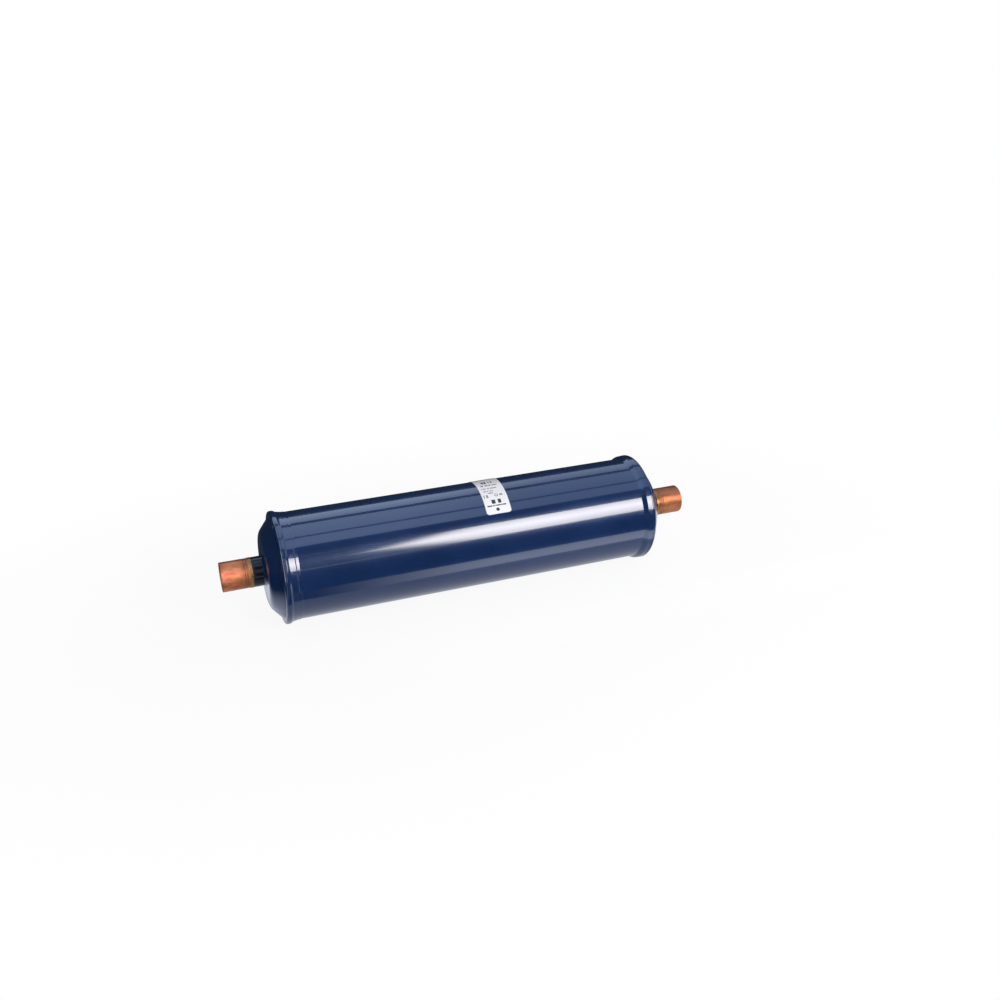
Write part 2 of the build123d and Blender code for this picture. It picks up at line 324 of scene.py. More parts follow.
# %% Braze metal
def make_braze():
    finish = Finish("braze_metal", metallic=1.0)
    stain = finish.noise(finish.place, 160.0)
    colour = finish.mix(stain.between(0.35, 0.65), rgb(124, 88, 54), rgb(168, 130, 84))
    finish.drives(base_color=colour, roughness=0.36 + stain * 0.2)
    finish.bump(finish.noise(finish.place, 400.0, detail=1.0), 0.00003)
    return finish.material


braze = make_braze()
print("made", braze.name)

# %% [markdown]
# ## Outlines
#
# A turned piece is known by its half section. We list only the corners, each with the radius of its
# rounding, and let a helper work out the arcs. A pressed sheet has the same wall all along, so its
# inner corners come from shifting each straight side in by the wall.

# %% Corners to outlines
STRAIGHT = 0.01                  # a corner that turns less than this, in radians, stays a point
LEAST_ROUNDING = 0.2             # of an inner corner of a pressed sheet, in millimetres


def unit(start, end):
    return (Vector(end) - Vector(start)).normalized()


def rounded(corners, steps_per_turn=96):
    """A closed outline through corners (out, radius, rounding)."""
    points = []
    for index, (out, radius, rounding) in enumerate(corners):
        here = Vector((out, radius))
        before = unit(here, corners[index - 1][:2])
        after = unit(here, corners[(index + 1) % len(corners)][:2])
        turn = math.pi - before.angle(after)
        if rounding <= 0 or turn < STRAIGHT:
            points.append(here)
            continue
        reach = rounding * math.tan(turn / 2)
        centre = here + (before + after).normalized() * (rounding / math.cos(turn / 2))
        spoke = here + before * reach - centre
        side = 1 if before.cross(after) < 0 else -1
        steps = max(2, math.ceil(turn / (2 * math.pi) * steps_per_turn))
        for step in range(steps + 1):
            angle = side * turn * step / steps
            points.append(centre + Vector((
                spoke.x * math.cos(angle) - spoke.y * math.sin(angle),
                spoke.x * math.sin(angle) + spoke.y * math.cos(angle))))
    return points


def inset(corners, wall):
    """Inner corners of a sheet whose outer corners run outward, as (out, radius, rounding)."""
    sides = []
    for start, end in zip(corners, corners[1:]):
        along = unit(start[:2], end[:2])
        shift = Vector((along.y, -along.x)) * wall
        sides.append((Vector(start[:2]) + shift, along))
    inner = [(*sides[0][0], 0.0)]
    for (start, along), (next_start, next_along), corner in zip(sides, sides[1:], corners[1:]):
        gap = next_start - start
        turning = along.cross(next_along)
        travel = gap.cross(next_along) / turning if abs(turning) > 1e-9 else gap.dot(along)
        rounding = corner[2] + wall * (1 if turning > 0 else -1)
        inner.append((*(start + along * travel), max(rounding, LEAST_ROUNDING)))
    last_start, along = sides[-1]
    travel = (Vector(corners[-1][:2]) - Vector(corners[-2][:2])).length
    return inner + [(*(last_start + along * travel), 0.0)]


print("outline helpers ready")

# %% [markdown]
# ## A lathe made of Geometry Nodes
#
# Turning an outline round an axis is what a lathe does, and it is a rule rather than a shape, so it is
# a Geometry Nodes tree. The outline becomes a curve, a small circle is its path, and Curve to Mesh
# sweeps one along the other. The tree then moves the surface by a little noise, which grows from one
# distance out from the middle to another and gives hand-laid weld metal its ripple. The seed is fixed,
# so each run gives the same piece.

# %% The lathe tree
HUB = 0.001                      # radius of the small circle, in metres, taken off each outline


def make_lathe_tree():
    group = bpy.data.node_groups.new("lathe", "GeometryNodeTree")
    face = group.interface
    face.new_socket("Outline", in_out="INPUT", socket_type="NodeSocketGeometry")
    inputs = (("Segments", "NodeSocketInt"), ("Middle", "NodeSocketFloat"),
              ("Ripple Height", "NodeSocketFloat"), ("Ripple Length", "NodeSocketFloat"),
              ("Ripple Start", "NodeSocketFloat"), ("Ripple End", "NodeSocketFloat"),
              ("Seed", "NodeSocketFloat"), ("Finish", "NodeSocketMaterial"))
    for name, kind in inputs:
        face.new_socket(name, in_out="INPUT", socket_type=kind)
    face.new_socket("Piece", in_out="OUTPUT", socket_type="NodeSocketGeometry")

    tree = Tree(group)
    given = group.nodes.new("NodeGroupInput")
    value = {socket.name: Signal(tree, socket) for socket in given.outputs if socket.name}
    profile = tree.add("GeometryNodeMeshToCurve", None, {"Mesh": value["Outline"]})
    path = tree.add("GeometryNodeCurvePrimitiveCircle", {"mode": "RADIUS"},
                    {"Resolution": value["Segments"], "Radius": HUB})
    swept = tree.add("GeometryNodeCurveToMesh", None, {"Curve": path, "Profile Curve": profile})
    laid = tree.add("GeometryNodeTransform", None, {
        "Geometry": swept, "Rotation": (0.0, math.pi / 2, 0.0),
        "Translation": tree.vector(value["Middle"])})

    place = tree.add("GeometryNodeInputPosition")
    along = tree.add("ShaderNodeSeparateXYZ", None, {"Vector": place})
    out = abs(along - value["Middle"])
    rise = tree.add("ShaderNodeMapRange", {"interpolation_type": "SMOOTHSTEP"}, {
        "Value": out, "From Min": value["Ripple Start"], "From Max": value["Ripple End"]})
    ripple = tree.add("ShaderNodeTexNoise", {"noise_dimensions": "4D"}, {
        "Vector": place, "W": value["Seed"], "Scale": 1 / value["Ripple Length"], "Detail": 1.0})
    lift = (ripple - 0.5) * 2 * value["Ripple Height"] * rise
    normal = tree.add("GeometryNodeInputNormal")
    offset = tree.add("ShaderNodeVectorMath", {"operation": "SCALE"}, {0: normal, "Scale": lift})
    rippled = tree.add("GeometryNodeSetPosition", None, {"Geometry": laid, "Offset": offset})
    smooth = tree.add("GeometryNodeSetShadeSmooth", None, {"Geometry": rippled})
    real = tree.add("GeometryNodeRealizeInstances", None, {"Geometry": smooth})
    done = tree.add("GeometryNodeSetMaterial", None, {"Geometry": real, "Material": value["Finish"]})
    result = group.nodes.new("NodeGroupOutput")
    group.links.new(done.socket, result.inputs[0])
    return group


lathe_tree = make_lathe_tree()
print("lathe tree has", len(lathe_tree.nodes), "nodes")

# %% [markdown]
# What the tree makes becomes a plain mesh, and the modifier goes with the object that carried it. Curve
# to Mesh can leave a surface inside out, so the sign of its volume is read, and the faces are turned
# if needed.

# %% Plain meshes
sharp_edge = math.radians(40)    # a fold sharper than this keeps a crisp edge


def enclosed(mesh):
    """Signed volume inside a closed mesh: negative if its faces point inwards."""
    mesh.calc_loop_triangles()
    corners = [vertex.co for vertex in mesh.vertices]
    return sum(corners[a].dot(corners[b].cross(corners[c])) / 6
               for a, b, c in (triangle.vertices for triangle in mesh.loop_triangles))


def evaluated(carrier, name):
    """The plain mesh object that a modifier makes, in place of the object that carried it."""
    graph = bpy.context.evaluated_depsgraph_get()
    mesh = bpy.data.meshes.new_from_object(carrier.evaluated_get(graph))
    bpy.data.objects.remove(carrier)
    if enclosed(mesh) < 0:
        mesh.flip_normals()
    mesh.set_sharp_from_angle(angle=sharp_edge)
    piece = bpy.data.objects.new(name, mesh)
    bpy.context.scene.collection.objects.link(piece)
    return piece


print(f"edges over {math.degrees(sharp_edge):.0f} degrees stay sharp")

# %% [markdown]
# `turned` runs the tree on one outline, and sets the modifier's inputs by their identifiers. A
# finished piece is then handed to the frame in place of the packed solid that it dresses.

# %% Turn a piece
def set_inputs(modifier, tree, values):
    for item in tree.interface.items_tree:
        if item.in_out == "INPUT" and item.name in values:
            modifier[item.identifier] = values[item.name]


def turned(name, corners, finish, side=1, segments=256, ripple=None):
    """A turned piece from closed corners, at the outlet end (side 1) or the inlet end (side -1).

    The sweep lays a profile's positive Y toward the inlet, so the outline's sign is turned here.
    """
    points = rounded(corners)
    mesh = bpy.data.meshes.new(name + "_outline")
    mesh.from_pydata([(radius * MM - HUB, -side * out * MM, 0.0) for out, radius in points],
                     [(index, (index + 1) % len(points)) for index in range(len(points))], [])
    carrier = bpy.data.objects.new(name + "_outline", mesh)
    bpy.context.scene.collection.objects.link(carrier)
    modifier = carrier.modifiers.new("lathe", "NODES")
    modifier.node_group = lathe_tree
    values = {"Segments": segments, "Middle": middle, "Ripple Height": 0.0, "Ripple Length": 0.005,
              "Ripple Start": 0.0, "Ripple End": 1.0, "Seed": 3.0, "Finish": finish}
    values.update(ripple or {})
    set_inputs(modifier, lathe_tree, values)
    return evaluated(carrier, name)


def stands_for(piece, node):
    """Hand a finished piece to the frame in place of a packed node."""
    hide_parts(node)
    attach(piece, "root")
    print(f"{piece.name}: {len(piece.data.polygons)} faces, for {node}")


print("the sweep runs on a circle of", HUB / MM, "mm, which each outline is drawn in by")

# %% [markdown]
# ## Shell
#
# The shell is one steel tube. Near each end a stop bead is rolled in, and beyond it the tube is opened
# out to a lip. The two ends differ a little, as two passes over a roller do: the inlet end has a low
# ridge and then a long flare, the outlet end a short step and a nearly straight lip.

# %% Shell
bore_radius = shell_radius - shell_wall
lip_start = 157.9                # where the lip's straight last stretch begins
lip_lean = 0.16                  # how much further out the lip's inner edge lies than its outer edge
skirt_start = 152.3              # where the head's skirt begins, against the bead of the groove
ripple_band = {"Ripple Height": 0.00005, "Ripple Length": 0.0050,
               "Ripple Start": 0.154, "Ripple End": 0.158, "Seed": 5.0}


def flare(*rises):
    """Outer corners from (out, rise above the tube, rounding), up to the lip."""
    corners = [(out, shell_radius + rise, rounding) for out, rise, rounding in rises]
    return corners + [(lip_out, lip_radius, 0.5)]


inlet_flare = flare((148.2, 0.0, 1.2), (150.6, 0.42, 0.4), (151.2, 0.28, 0.4),
                    (156.2, 1.20, 2.0), (lip_start, 2.33, 1.0))
outlet_flare = flare((151.3, 0.0, 0.8), (155.0, 2.12, 1.0))
inside_end = [(lip_out + lip_lean, lip_radius - shell_wall, 0.3), (157.0, lip_radius - 1.8, 2.0),
              (153.4, bore_radius, 2.0), (skirt_start, bore_radius, 0.3),
              (150.5, bore_radius - 0.5, 2.0), (148.7, bore_radius, 0.3)]


def shell_corners():
    """All round the tube's wall: the outlet's end, then the inlet's end in reverse."""
    outlet_end = outlet_flare + inside_end
    inlet_end = [(-out, radius, rounding) for out, radius, rounding in inlet_flare + inside_end]
    return outlet_end + inlet_end[::-1]


shell = turned("shell_tube", shell_corners(), navy, segments=360, ripple=ripple_band)
stands_for(shell, "shell")

# %% [markdown]
# ## Heads
#
# Each end is closed by a drawn head: a short skirt inside the shell, a shoulder, a cone, and a crown
# that dips a little toward the neck.

# %% Heads
ENDS = (("inlet", -1), ("outlet", 1))
head_wall = 2.0
skirt_radius = 42.8
shoulder_out = lip_out + 2.0
cone_depth = 10.4
cone_angle = math.radians(50)
crown_out = shoulder_out + cone_depth
crown_corner = skirt_radius - cone_depth * math.tan(cone_angle)
dish = 0.8
hole_radius = 12.35


def face_out(radius):
    """How far out the crown's face lies at a radius."""
    return crown_out - dish + dish * radius / crown_corner


head_outside = [(skirt_start, skirt_radius, 0.0), (shoulder_out, skirt_radius, 3.0),
                (crown_out, crown_corner, 12.0), (face_out(hole_radius), hole_radius, 0.0)]
head_corners = head_outside + inset(head_outside, head_wall)[::-1]
for end, side in ENDS:
    head = turned(end + "_head", head_corners, navy, side)
    stands_for(head, end + "_cap")

# %% [markdown]
# ## Seam welds
#
# The trough between lip and head is filled with weld metal and painted over. Its crown rolls over the
# lip's edge, and it carries the same ripple as the band beside it.

# %% Seam welds
weld_face = lip_out + 2.4
seam_corners = [
    (lip_start, 45.15, 0.0), (lip_out + lip_lean, lip_radius - shell_wall, 0.0),
    (lip_out, lip_radius, 0.0), (weld_face - 0.3, lip_radius + 0.10, 1.9),
    (weld_face, 44.2, 2.0), (weld_face - 0.2, 42.2, 0.3),
    (160.6, skirt_radius, 0.0), (lip_start, skirt_radius, 0.0)]
for end, side in ENDS:
    seam = turned(end + "_seam_weld", seam_corners, navy, side, segments=360, ripple=ripple_band)
    stands_for(seam, end + "_cap_weld")

# %% [markdown]
# ## Necks and their welds
#
# A turned steel spud passes through each crown and is welded round its root. Both are under the paint.

# %% Necks
neck_radius = 12.3
neck_chamfer = 0.8
neck_out = crown_out + 10.0
neck_start = 168.72
passage = 8.9
tail_start = 171.32              # the step that the copper's tail stands on
tail_seat = 9.95                 # radius that the tail fits in
neck_corners = [
    (neck_start, passage, 0.2), (tail_start, passage, 0.0), (tail_start, tail_seat, 0.0),
    (neck_out, tail_seat, 0.0), (neck_out, neck_radius - neck_chamfer, 0.1),
    (neck_out - neck_chamfer, neck_radius, 0.5), (neck_start, neck_radius, 0.2)]
root_weld_corners = [
    (face_out(neck_radius) - 0.3, neck_radius, 0.0), (face_out(15.0) - 0.3, 15.0, 0.0),
    (face_out(14.0) + 0.15, 14.0, 1.0), (face_out(13.0) + 0.7, 12.9, 1.2),
    (face_out(neck_radius) + 1.75, neck_radius + 0.02, 0.0)]
root_ripple = {"Ripple Height": 0.00012, "Ripple Length": 0.0030, "Seed": 8.0}
for end, side in ENDS:
    neck = turned(end + "_spud", neck_corners, navy_painted_shade, side, segments=160)
    stands_for(neck, end + "_neck")
    root = turned(end + "_root_weld", root_weld_corners, navy, side, segments=240, ripple=root_ripple)
    stands_for(root, end + "_neck_weld")

# %% [markdown]
# ## Sockets and braze rings
#
# The copper socket takes the line's tube. Its tail is hidden inside the spud, two fine rings are turned
# near its root, and its mouth is slightly rounded. The braze ring closes the joint.

# %% Sockets
socket_radius = 12.175
socket_bore = 11.175
socket_bottom = mouth_out - 20.0
tail_radius = 9.9
collar_end = neck_out + 2.2
collar_radius = socket_radius - 0.4    # under the braze


def ring_groove(out):
    """Corners of one fine turned groove, from its outer side to its inner side."""
    return [(out + 0.4, socket_radius, 0.15), (out, socket_radius - 0.28, 0.25),
            (out - 0.4, socket_radius, 0.15)]


socket_corners = [
    (tail_start, passage, 0.0), (socket_bottom, passage, 0.3), (socket_bottom, socket_bore, 0.3),
    (mouth_out, socket_bore, 0.15), (mouth_out, socket_radius, 0.45),
    *ring_groove(neck_out + 5.5), *ring_groove(neck_out + 3.6),
    (collar_end, socket_radius, 0.1), (collar_end, collar_radius, 0.0),
    (neck_out, collar_radius, 0.0), (neck_out, tail_radius, 0.0), (tail_start, tail_radius, 0.0)]
braze_corners = [
    (neck_out, neck_radius - neck_chamfer, 0.0), (neck_out, collar_radius, 0.0),
    (collar_end, collar_radius, 0.0), (collar_end, socket_radius + 0.05, 0.1),
    (neck_out + 1.2, neck_radius + 0.15, 0.8), (neck_out - 0.2, neck_radius + 0.15, 0.5),
    (neck_out - neck_chamfer, neck_radius, 0.0)]
braze_ripple = {"Ripple Height": 0.00003, "Ripple Length": 0.0025, "Seed": 2.0}
for end, side in ENDS:
    socket = turned(end + "_copper", socket_corners, copper, side, segments=192)
    stands_for(socket, end + "_socket")
    ring = turned(end + "_braze", braze_corners, braze, side, segments=192, ripple=braze_ripple)
    stands_for(ring, end + "_braze_ring")

# %% [markdown]
# ## Label
#
# The label is a strip of white film with rounded corners, wrapped over the top of the shell. It was put
# on by hand, so it leans a little. Its rows lie closer together near each end, where they are drawn in
# to round the corners.

# %% Label sizes
label_width = 21.8
label_start = 12.2               # of the film's inlet edge, from the middle of the shell
label_front = 43.7               # degrees in front of the top
label_back = 100.0               # degrees behind it
print_from = 45.0                # degrees in front of the top, where V is 0
label_inside = shell_radius + 0.15
label_thickness = 0.15
label_corner = 2.5
label_lean = 0.03                # millimetres sideways for each millimetre along the strip
label_length = math.radians(label_front + label_back) * label_inside
print_start = math.radians(print_from - label_front) * label_inside


def half_width_at(distance):
    """Half the strip's width at a distance from its nearer end."""
    short = max(label_corner - distance, 0.0)
    return label_width / 2 - label_corner + math.sqrt(label_corner ** 2 - short ** 2)


def row_places(corner_steps=8, even_steps=96):
    """Distances along the strip: close together in the rounded corners, even between them."""
    corner = [label_corner * (1 - math.cos(math.pi / 2 * step / corner_steps))
              for step in range(corner_steps + 1)]
    straight = label_length - 2 * label_corner
    even = [label_corner + straight * step / even_steps for step in range(1, even_steps)]
    return corner + even + [label_length - distance for distance in reversed(corner)]


print(f"label: {label_width:.1f} by {label_length:.0f} mm of film in {len(row_places())} rows")

# %% [markdown]
# The film is a grid bent round the shell, with an outer face, an inner face and a rim. Its UV map is in
# millimetres, so that the print can be drawn to size: U runs along the axis from the film's inlet edge,
# and V runs round the shell from 45 degrees in front of the top.

# %% Label film
def label_places(rows, columns):
    """Vertices and UV places of the outer face and then the inner face, row by row."""
    vertices, uvs = [], []
    for radius in (label_inside + label_thickness, label_inside):
        for distance in rows:
            angle = math.radians(label_front) - distance / label_inside
            reach = half_width_at(min(distance, label_length - distance))
            slide = label_lean * (distance - label_length / 2)
            for column in range(columns + 1):
                across = -reach + 2 * reach * column / columns
                along = label_start + label_width / 2 + across + slide
                vertices.append((middle + along * MM, -math.sin(angle) * radius * MM,
                                 math.cos(angle) * radius * MM))
                uvs.append((across + label_width / 2, distance + print_start))
    return vertices, uvs


def label_faces(row_count, columns):
    """Both faces of the film, and the rim that joins them."""
    width = columns + 1
    inner = width * row_count
    faces = []
    for row in range(row_count - 1):
        for column in range(columns):
            first = row * width + column
            quad = (first, first + 1, first + 1 + width, first + width)
            faces += [quad, tuple(inner + corner for corner in (quad[0], quad[3], quad[2], quad[1]))]
    rim = (list(range(width)) + [row * width + columns for row in range(1, row_count)]
           + [(row_count - 1) * width + column for column in range(columns - 1, -1, -1)]
           + [row * width for row in range(row_count - 2, 0, -1)])
    return faces + [(here, here + inner, there + inner, there)
                    for here, there in zip(rim, rim[1:] + rim[:1])]


def build_label(columns=4):
    rows = row_places()
    vertices, uvs = label_places(rows, columns)
    mesh = bpy.data.meshes.new("label_film")
    mesh.from_pydata(vertices, [], label_faces(len(rows), columns))
    layer = mesh.uv_layers.new(name="print")
    for loop in mesh.loops:
        layer.data[loop.index].uv = uvs[loop.vertex_index]
    if enclosed(mesh) < 0:
        mesh.flip_normals()
    mesh.shade_smooth()
    mesh.set_sharp_from_angle(angle=sharp_edge)
    piece = bpy.data.objects.new("label_film", mesh)
    bpy.context.scene.collection.objects.link(piece)
    return piece


label = build_label()
print("label film has", len(label.data.polygons), "faces")

# %% [markdown]
# ### The label's print
#
# The print is only plain marks: a dot, a ring, bars, blocks and rows of small dashes, each a product of
# simple steps on the UV map. Dashes come from a noise that is cut at a level, so a row has gaps like
# print without being writing. The film is glossy, and the print is slightly duller.

# %% Marks on the label
# In millimetres on the film: left, right, low and high, and for a row of dashes the length of a dash.
black_bars = [(6.8, 10.1, 10.6, 14.6), (12.4, 15.2, 10.6, 14.6),
              (4.0, 18.5, 62.0, 62.6), (4.0, 18.5, 74.0, 74.6)]
black_rows = [(2.0, 18.6, 8.1, 9.3, 0.8), (2.6, 17.8, 32.6, 34.3, 0.8),
              (4.0, 9.6, 37.2, 41.8, 1.0), (11.0, 15.0, 37.8, 41.4, 1.0),
              (4.0, 18.5, 78.0, 79.2, 0.9), (4.0, 16.0, 81.0, 82.2, 0.9),
              (4.0, 18.5, 84.0, 85.2, 0.9), (4.0, 12.0, 87.0, 88.2, 0.9)]
grey_bars = [(4.0, 18.0, 50.0, 56.0)]
grey_rows = [(1.6, 6.8, 17.2, 20.6, 1.4), (15.6, 18.4, 18.4, 20.2, 1.0),
             (2.2, 16.4, 28.0, 29.4, 1.3), (3.0, 12.0, 24.4, 25.6, 1.1), (6.0, 11.0, 21.6, 23.0, 1.2),
             (4.0, 18.5, 65.0, 66.2, 0.9), (4.0, 18.5, 68.0, 69.2, 0.9)]
dash_level = 0.42                # the noise above which a row is inked
print(len(black_bars + grey_bars), "bars and", len(black_rows + grey_rows), "rows of dashes")

# %% [markdown]
# Black and grey marks are joined into one mask each, and the masks colour the film.

# %% Label print
class Print(Finish):
    """A finish whose patterns are drawn in millimetres on a UV map."""

    def __init__(self, name, **constants):
        super().__init__(name, **constants)
        flat = self.add("ShaderNodeUVMap", {"uv_map": "print"})
        split = self.add("ShaderNodeSeparateXYZ", None, {"Vector": flat}).socket.node
        self.u, self.v = (Signal(self, socket) for socket in split.outputs[:2])

    def bar(self, left, right, low, high):
        return (self.u > left) * (self.u < right) * (self.v > low) * (self.v < high)

    def dot(self, across, along, radius):
        distance = (self.u - across) ** 2 + (self.v - along) ** 2
        return distance < radius ** 2

    def dashes(self, left, right, low, high, length):
        """A row of uneven dashes. Each row starts at its own place in the noise."""
        grain = self.noise(self.vector(self.u / length, low * 7.0), 1.0, detail=0.0)
        return self.bar(left, right, low, high) * (grain > dash_level)

    def inked(self, marks, bars, rows):
        """1 wherever any mark, bar or row of dashes is."""
        total, *others = marks + [self.bar(*bar) for bar in bars] + [self.dashes(*row) for row in rows]
        for mark in others:
            total = total.math("MAXIMUM", mark)
        return total


def make_label_finish():
    finish = Print("label_print", coat_weight=0.4, coat_roughness=0.1)
    ring = finish.dot(12.8, 19.2, 1.6) - finish.dot(12.8, 19.2, 0.9)
    black = finish.inked([finish.dot(10.4, 4.9, 1.5)], black_bars, black_rows)
    grey = finish.inked([ring], grey_bars, grey_rows)
    film = finish.mix(finish.noise(finish.place, 60.0), rgb(236, 237, 242), rgb(246, 246, 249))
    shade = finish.mix(grey * 0.85, film, rgb(100, 100, 108))
    finish.drives(base_color=finish.mix(black, shade, rgb(16, 16, 20)), roughness=0.30 + black * 0.2)
    return finish.material


label.data.materials.append(make_label_finish())
stands_for(label, "label")

# %% [markdown]
# ## What is inside the can
#
# The spring, plates, screens, pad, filter and beads are hidden, and their solids are already right.
# They keep their meshes and only get finishes, so that the model also looks right when it is opened.

# %% Finishes of the inner pieces
def make_steel(name, colour, roughness, grain):
    finish = Finish(name, metallic=1.0)
    streak = finish.noise(finish.stretched(grain, grain * 0.2), 1.0)
    finish.drives(base_color=finish.mix(streak * 0.5, colour, rgb(120, 120, 122)))
    finish.drives(roughness=roughness + streak * 0.2)
    return finish.material


def make_mesh_cloth():
    finish = Finish("woven_wire", metallic=1.0)
    wires = (finish.y * 9000.0).math("SINE") * (finish.z * 9000.0).math("SINE")
    weave = wires * 0.5 + 0.5
    finish.drives(base_color=finish.mix(weave, rgb(92, 92, 94), rgb(200, 200, 202)))
    finish.drives(roughness=0.3 + weave * 0.2)
    finish.bump(weave, 0.0001)
    return finish.material


def make_felt():
    finish = Finish("glass_fibre_felt", roughness=0.95)
    fibre = finish.noise(finish.stretched(200.0, 1400.0), 1.0, detail=3.0, roughness=0.7)
    finish.drives(base_color=finish.mix(fibre, rgb(196, 178, 118), rgb(238, 228, 190)))
    finish.bump(fibre, 0.0004)
    return finish.material


def make_beads():
    finish = Finish("desiccant_beads", roughness=0.7)
    cell = finish.add("ShaderNodeTexVoronoi", {"feature": "F1"},
                      {"Vector": finish.place, "Scale": 420.0})
    # darker toward each bead's edge: painted shade between the beads
    finish.drives(base_color=finish.mix(cell * 1.2, rgb(226, 206, 176), rgb(132, 112, 90)))
    finish.bump(1 - cell, 0.0008)
    return finish.material


plain_steel = make_steel("pressed_steel", rgb(176, 178, 182), 0.30, 900.0)
spring_steel = make_steel("spring_wire", rgb(150, 150, 156), 0.25, 1500.0)
mesh_cloth, felt, beads = make_mesh_cloth(), make_felt(), make_beads()
inner_finishes = {
    "bed_spring": spring_steel, "inlet_plate": plain_steel, "outlet_plate": plain_steel,
    "outlet_cage": plain_steel, "inlet_screen": mesh_cloth, "outlet_screen": mesh_cloth,
    "inlet_pad": felt, "outlet_filter": felt, "desiccant_bed": beads}
for node, finish in inner_finishes.items():
    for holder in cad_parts[node].material_slots:
        holder.material = finish
print("finished", len(inner_finishes), "inner pieces")

# %% [markdown]
# ## Floor and room
#
# The drier lies on its two lips on a white sweep. The floor is a plain pale surface, and where the
# camera or a shiny surface looks at it, Light Path mixes in a glow of strength 1. Near the drier there
# is less of the glow, so the shadow that falls there still shows.

# %% Floor
floor_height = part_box("inlet_cap_weld")[0][2]
floor_reach = 60.0
near_glow = 0.91                 # share of the floor's look that glows beside the drier
shadow_reach = (0.20, 0.60)      # from here to there the share rises to 1


def stage_sheet(name, corners, faces, material):
    """A flat or folded sheet of the stage, from corners and faces."""
    mesh = bpy.data.meshes.new(name)
    mesh.from_pydata(corners, [], faces)
    mesh.materials.append(material)
    piece = bpy.data.objects.new(name, mesh)
    bpy.context.scene.collection.objects.link(piece)
    return piece


def looked_at(tree):
    """1 for camera, glossy and transmission rays, 0 for the rest."""
    path = tree.tree.nodes.new("ShaderNodeLightPath")
    ray = {socket.name: Signal(tree, socket) for socket in path.outputs}
    seen = ray["Is Camera Ray"].math("MAXIMUM", ray["Is Glossy Ray"])
    return seen.math("MAXIMUM", ray["Is Transmission Ray"])


def make_floor_material():
    finish = Finish("white_sweep", base_color=(0.92, 0.92, 0.92, 1.0), roughness=0.9)
    away = ((finish.x - middle) ** 2 + (finish.y * 1.6) ** 2) ** 0.5
    glow = near_glow + away.between(*shadow_reach) * (1 - near_glow)
    emission = finish.add("ShaderNodeEmission", None, {"Color": (1.0, 1.0, 1.0, 1.0), "Strength": 1.0})
    plain = Signal(finish, finish.shader.outputs[0])
    finish.shows(finish.add("ShaderNodeMixShader", None,
                            {0: glow * looked_at(finish), 1: plain, 2: emission}))
    return finish.material


floor_corners = [(x * floor_reach, y * floor_reach, floor_height)
                 for x, y in ((-1, -1), (1, -1), (1, 1), (-1, 1))]
stage_sheet("floor", floor_corners, [(0, 1, 2, 3)], make_floor_material())
print("floor at", round(floor_height, 4))

# %% [markdown]
# The world follows the same rule: strength 1 to the rays that look at it, and a plain lower level for
# the light that it sheds.

# %% Room
def make_world(plain_level):
    world = bpy.data.worlds.new("room")
    world.use_nodes = True
    tree = Tree(world.node_tree)
    background = world.node_tree.nodes["Background"]
    background.inputs["Color"].default_value = (1.0, 1.0, 1.0, 1.0)
    strength = plain_level + looked_at(tree) * (1 - plain_level)
    world.node_tree.links.new(strength.socket, background.inputs["Strength"])
    return world


bpy.context.scene.world = make_world(plain_level=0.50)
print("the room is named", bpy.context.scene.world.name)

# %% [markdown]
# ## Light
#
# One long softbox stands on the camera's side, beyond the outlet, and lights the drier softly. Glossy
# paint mirrors what stands round it, so its reflections are arranged apart from its light: glossy rays
# don't see the softbox, and see the cards of the next step instead.

# %% Softbox
def across(angle, distance):
    """A place across the axis: an angle above the horizon on the camera's side, and a distance."""
    turn = math.radians(angle)
    return (-math.cos(turn) * distance, math.sin(turn) * distance)


def softbox(start, end, low, high, distance, radiance):
    """A white rectangle that spans start to end along the axis and low to high in angle."""
    along = (start + end) / 2
    place = Vector((along, *across((low + high) / 2, distance)))
    height = 2 * distance * math.tan(math.radians(high - low) / 2)
    data = bpy.data.lights.new("softbox", "AREA")
    data.shape = "RECTANGLE"
    data.size, data.size_y = end - start, height
    data.energy = radiance * math.pi * (end - start) * height
    lamp = bpy.data.objects.new("softbox", data)
    lamp.location = place
    lamp.rotation_mode = "QUATERNION"
    lamp.rotation_quaternion = (Vector((along, 0.0, 0.0)) - place).to_track_quat("-Z", "Y")
    lamp.visible_glossy = False
    bpy.context.scene.collection.objects.link(lamp)
    return data


lamp_data = softbox(start=0.35, end=1.02, low=16.0, high=43.0, distance=1.0, radiance=8.0)
print(f"softbox of {lamp_data.size:.2f} by {lamp_data.size_y:.2f} m")

# %% [markdown]
# ### Cards for the reflections
#
# A card is a sheet that glows, or stays black, and that only glossy rays see. The stripe is bright along
# its middle line and ends in a streaked point, as the highlight on the shell does. Its shape darkens
# the colour of the glow and leaves the strength a plain number.

# %% Card materials
def card_material(name, colour, strength, shape=None):
    """A glow, which a shape darkens where it is below 1."""
    surface = Surface(name)
    seen = (*colour, 1.0)
    if shape:
        seen = surface.mix(shape(surface), (0.0, 0.0, 0.0, 1.0), seen)
    surface.shows(surface.add("ShaderNodeEmission", None, {"Color": seen, "Strength": strength}))
    return surface.material


def rising(start, end):
    """A shape that rises from 0 to 1 between two places along the axis."""
    return lambda surface: surface.x.between(start, end)


def stripe_shape(surface):
    """Brightest along its middle line, and streaked to a point at its near end."""
    angle = surface.maths("ARCTAN2", surface.z, -surface.y) * (180 / math.pi)
    lean = abs(angle - 29.2 - surface.x * 4.0)
    streak = surface.noise(surface.vector(0.0, lean * 0.9), 1.0, detail=1.0)
    start = surface.x - lean * 0.009 - streak * 0.10
    return start.between(0.215, 0.36) * (1 - lean * 0.024)


def panel_shape(surface):
    """A little dimmer toward the outlet."""
    return 1 - 0.31 * surface.x.between(0.25, 0.50)


